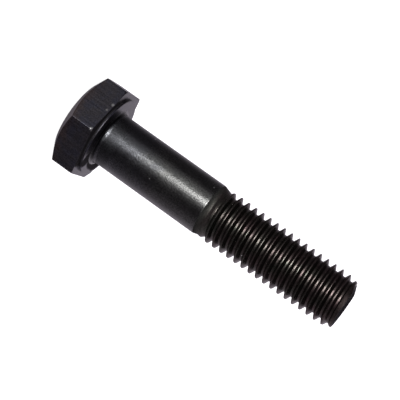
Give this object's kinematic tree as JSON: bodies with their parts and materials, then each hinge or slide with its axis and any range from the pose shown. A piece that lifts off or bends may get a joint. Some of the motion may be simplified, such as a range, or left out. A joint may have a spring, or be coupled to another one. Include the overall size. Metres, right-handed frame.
{
  "type": "hex bolt",
  "caption": "Partly threaded metric hexagon-head bolt in blackened steel, with a washer face under the head and a chamfered point.",
  "frame": {"origin": "middle of the head's flat top, on which the bolt stands", "axes": "+Z along the shank from the head to the point, +X through the middle of a wrench flat"},
  "size_m": [0.0168, 0.0196, 0.0564],
  "materials": {
    "black_oxide_steel": "satin black oxide with a thin film of oil"
  },
  "bodies": {
    "root": {"hex_bolt": "black_oxide_steel"}
  },
  "joints": []
}
